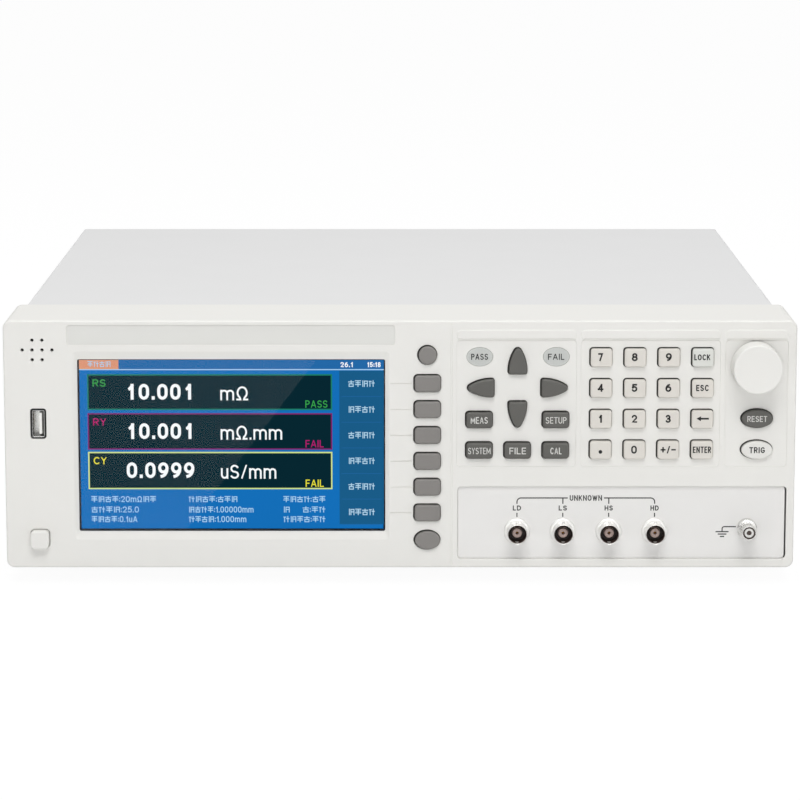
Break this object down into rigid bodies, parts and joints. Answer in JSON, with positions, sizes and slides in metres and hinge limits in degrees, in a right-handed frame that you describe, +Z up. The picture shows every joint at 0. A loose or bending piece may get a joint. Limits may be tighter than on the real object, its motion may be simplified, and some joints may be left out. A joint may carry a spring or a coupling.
{
  "type": "four-probe resistivity meter",
  "caption": "Bench resistivity meter in a flat sheet-metal case: moulded front with display, soft keys, numeric keypad, knob, coaxial sockets and a ground post.",
  "frame": {"origin": "on the floor, under the middle of the whole object's box", "axes": "+X to the right seen from the front, +Y from the front panel towards the rear, +Z up"},
  "size_m": [0.4, 0.414, 0.136],
  "materials": {
    "bezel_plastic": "fine moulded texture",
    "key_grey": "satin",
    "key_dark": "satin",
    "key_light": "satin",
    "key_lock": "satin",
    "key_clear": "satin, translucent",
    "knob_plastic": "soft satin",
    "shaft_steel": "turned",
    "display_glass": "glossy",
    "display_face": "lit display",
    "lamp_plastic": "satin, translucent",
    "plate_paint": "fine matt",
    "nickel": "bright nickel",
    "insulator_plastic": "satin",
    "chrome": "polished",
    "usb_metal": "satin",
    "board_green": "solder mask",
    "black_plastic": "satin",
    "cover_paint": "fine powder coat",
    "tray_steel": "plated sheet",
    "panel_paint": "fine powder coat",
    "port_metal": "nickel-plated",
    "foot_rubber": "matt",
    "screw_steel": "nickel-plated",
    "supply_metal": "folded sheet",
    "encoder_metal": "satin"
  },
  "bodies": {
    "case": {"front_bezel": "bezel_plastic", "display_lens": "display_glass", "lcd_module": "display_face", "status_lenses": "lamp_plastic", "terminal_plate": "plate_paint", "bnc_shells": "nickel", "bnc_inserts": "insulator_plastic", "ground_post": "chrome", "usb_receptacle": "usb_metal", "front_board": "board_green", "power_switch": "black_plastic", "speaker": "black_plastic", "top_cover": "cover_paint", "chassis_tray": "tray_steel", "rear_panel": "panel_paint", "power_inlet": "black_plastic", "serial_port": "port_metal", "feet": "foot_rubber", "cover_screws": "screw_steel", "main_board": "board_green", "power_supply": "supply_metal", "rotary_encoder": "encoder_metal"},
    "softkey_1": {"softkey_1": "key_grey"},
    "softkey_2": {"softkey_2": "key_grey"},
    "softkey_3": {"softkey_3": "key_grey"},
    "softkey_4": {"softkey_4": "key_grey"},
    "softkey_5": {"softkey_5": "key_grey"},
    "softkey_6": {"softkey_6": "key_grey"},
    "page_key": {"page_key": "key_grey"},
    "copy_key": {"copy_key": "key_grey"},
    "arrow_up": {"arrow_up": "key_dark"},
    "arrow_down": {"arrow_down": "key_dark"},
    "arrow_left": {"arrow_left": "key_dark"},
    "arrow_right": {"arrow_right": "key_dark"},
    "measure_key": {"measure_key": "key_dark"},
    "setup_key": {"setup_key": "key_dark"},
    "system_key": {"system_key": "key_dark"},
    "file_key": {"file_key": "key_dark"},
    "calibrate_key": {"calibrate_key": "key_dark"},
    "reset_key": {"reset_key": "key_dark"},
    "digit_0": {"digit_0": "key_light"},
    "digit_1": {"digit_1": "key_light"},
    "digit_2": {"digit_2": "key_light"},
    "digit_3": {"digit_3": "key_light"},
    "digit_4": {"digit_4": "key_light"},
    "digit_5": {"digit_5": "key_light"},
    "digit_6": {"digit_6": "key_light"},
    "digit_7": {"digit_7": "key_light"},
    "digit_8": {"digit_8": "key_light"},
    "digit_9": {"digit_9": "key_light"},
    "point_key": {"point_key": "key_light"},
    "sign_key": {"sign_key": "key_light"},
    "backspace_key": {"backspace_key": "key_light"},
    "enter_key": {"enter_key": "key_light"},
    "escape_key": {"escape_key": "key_light"},
    "lock_key": {"lock_key": "key_lock"},
    "trigger_key": {"trigger_key": "key_clear"},
    "power_button": {"power_button": "bezel_plastic"},
    "tuning_knob": {"tuning_knob": "knob_plastic", "encoder_shaft": "shaft_steel"}
  },
  "joints": [
    {"name": "softkey_1_press", "type": "slide", "parent": "case", "child": "softkey_1", "axis": [0, 1, 0], "range_m": [0, 0.0012], "stiffness_N_per_m": 400},
    {"name": "softkey_2_press", "type": "slide", "parent": "case", "child": "softkey_2", "axis": [0, 1, 0], "range_m": [0, 0.0012], "stiffness_N_per_m": 400},
    {"name": "softkey_3_press", "type": "slide", "parent": "case", "child": "softkey_3", "axis": [0, 1, 0], "range_m": [0, 0.0012], "stiffness_N_per_m": 400},
    {"name": "softkey_4_press", "type": "slide", "parent": "case", "child": "softkey_4", "axis": [0, 1, 0], "range_m": [0, 0.0012], "stiffness_N_per_m": 400},
    {"name": "softkey_5_press", "type": "slide", "parent": "case", "child": "softkey_5", "axis": [0, 1, 0], "range_m": [0, 0.0012], "stiffness_N_per_m": 400},
    {"name": "softkey_6_press", "type": "slide", "parent": "case", "child": "softkey_6", "axis": [0, 1, 0], "range_m": [0, 0.0012], "stiffness_N_per_m": 400},
    {"name": "page_key_press", "type": "slide", "parent": "case", "child": "page_key", "axis": [0, 1, 0], "range_m": [0, 0.0012], "stiffness_N_per_m": 400},
    {"name": "copy_key_press", "type": "slide", "parent": "case", "child": "copy_key", "axis": [0, 1, 0], "range_m": [0, 0.0012], "stiffness_N_per_m": 400},
    {"name": "arrow_up_press", "type": "slide", "parent": "case", "child": "arrow_up", "axis": [0, 1, 0], "range_m": [0, 0.0012], "stiffness_N_per_m": 400},
    {"name": "arrow_down_press", "type": "slide", "parent": "case", "child": "arrow_down", "axis": [0, 1, 0], "range_m": [0, 0.0012], "stiffness_N_per_m": 400},
    {"name": "arrow_left_press", "type": "slide", "parent": "case", "child": "arrow_left", "axis": [0, 1, 0], "range_m": [0, 0.0012], "stiffness_N_per_m": 400},
    {"name": "arrow_right_press", "type": "slide", "parent": "case", "child": "arrow_right", "axis": [0, 1, 0], "range_m": [0, 0.0012], "stiffness_N_per_m": 400},
    {"name": "measure_key_press", "type": "slide", "parent": "case", "child": "measure_key", "axis": [0, 1, 0], "range_m": [0, 0.0012], "stiffness_N_per_m": 400},
    {"name": "setup_key_press", "type": "slide", "parent": "case", "child": "setup_key", "axis": [0, 1, 0], "range_m": [0, 0.0012], "stiffness_N_per_m": 400},
    {"name": "system_key_press", "type": "slide", "parent": "case", "child": "system_key", "axis": [0, 1, 0], "range_m": [0, 0.0012], "stiffness_N_per_m": 400},
    {"name": "file_key_press", "type": "slide", "parent": "case", "child": "file_key", "axis": [0, 1, 0], "range_m": [0, 0.0012], "stiffness_N_per_m": 400},
    {"name": "calibrate_key_press", "type": "slide", "parent": "case", "child": "calibrate_key", "axis": [0, 1, 0], "range_m": [0, 0.0012], "stiffness_N_per_m": 400},
    {"name": "reset_key_press", "type": "slide", "parent": "case", "child": "reset_key", "axis": [0, 1, 0], "range_m": [0, 0.0012], "stiffness_N_per_m": 400},
    {"name": "digit_0_press", "type": "slide", "parent": "case", "child": "digit_0", "axis": [0, 1, 0], "range_m": [0, 0.0012], "stiffness_N_per_m": 400},
    {"name": "digit_1_press", "type": "slide", "parent": "case", "child": "digit_1", "axis": [0, 1, 0], "range_m": [0, 0.0012], "stiffness_N_per_m": 400},
    {"name": "digit_2_press", "type": "slide", "parent": "case", "child": "digit_2", "axis": [0, 1, 0], "range_m": [0, 0.0012], "stiffness_N_per_m": 400},
    {"name": "digit_3_press", "type": "slide", "parent": "case", "child": "digit_3", "axis": [0, 1, 0], "range_m": [0, 0.0012], "stiffness_N_per_m": 400},
    {"name": "digit_4_press", "type": "slide", "parent": "case", "child": "digit_4", "axis": [0, 1, 0], "range_m": [0, 0.0012], "stiffness_N_per_m": 400},
    {"name": "digit_5_press", "type": "slide", "parent": "case", "child": "digit_5", "axis": [0, 1, 0], "range_m": [0, 0.0012], "stiffness_N_per_m": 400},
    {"name": "digit_6_press", "type": "slide", "parent": "case", "child": "digit_6", "axis": [0, 1, 0], "range_m": [0, 0.0012], "stiffness_N_per_m": 400},
    {"name": "digit_7_press", "type": "slide", "parent": "case", "child": "digit_7", "axis": [0, 1, 0], "range_m": [0, 0.0012], "stiffness_N_per_m": 400},
    {"name": "digit_8_press", "type": "slide", "parent": "case", "child": "digit_8", "axis": [0, 1, 0], "range_m": [0, 0.0012], "stiffness_N_per_m": 400},
    {"name": "digit_9_press", "type": "slide", "parent": "case", "child": "digit_9", "axis": [0, 1, 0], "range_m": [0, 0.0012], "stiffness_N_per_m": 400},
    {"name": "point_key_press", "type": "slide", "parent": "case", "child": "point_key", "axis": [0, 1, 0], "range_m": [0, 0.0012], "stiffness_N_per_m": 400},
    {"name": "sign_key_press", "type": "slide", "parent": "case", "child": "sign_key", "axis": [0, 1, 0], "range_m": [0, 0.0012], "stiffness_N_per_m": 400},
    {"name": "backspace_key_press", "type": "slide", "parent": "case", "child": "backspace_key", "axis": [0, 1, 0], "range_m": [0, 0.0012], "stiffness_N_per_m": 400},
    {"name": "enter_key_press", "type": "slide", "parent": "case", "child": "enter_key", "axis": [0, 1, 0], "range_m": [0, 0.0012], "stiffness_N_per_m": 400},
    {"name": "escape_key_press", "type": "slide", "parent": "case", "child": "escape_key", "axis": [0, 1, 0], "range_m": [0, 0.0012], "stiffness_N_per_m": 400},
    {"name": "lock_key_press", "type": "slide", "parent": "case", "child": "lock_key", "axis": [0, 1, 0], "range_m": [0, 0.0012], "stiffness_N_per_m": 400},
    {"name": "trigger_key_press", "type": "slide", "parent": "case", "child": "trigger_key", "axis": [0, 1, 0], "range_m": [0, 0.0012], "stiffness_N_per_m": 400},
    {"name": "power_button_press", "type": "slide", "parent": "case", "child": "power_button", "axis": [0, 1, 0], "range_m": [0, 0.0024], "stiffness_N_per_m": 500},
    {"name": "knob_turn", "type": "hinge", "parent": "case", "child": "tuning_knob", "pos_m": [0.1793, -0.207, 0.113], "axis": [0, -1, 0], "continuous": true}
  ]
}
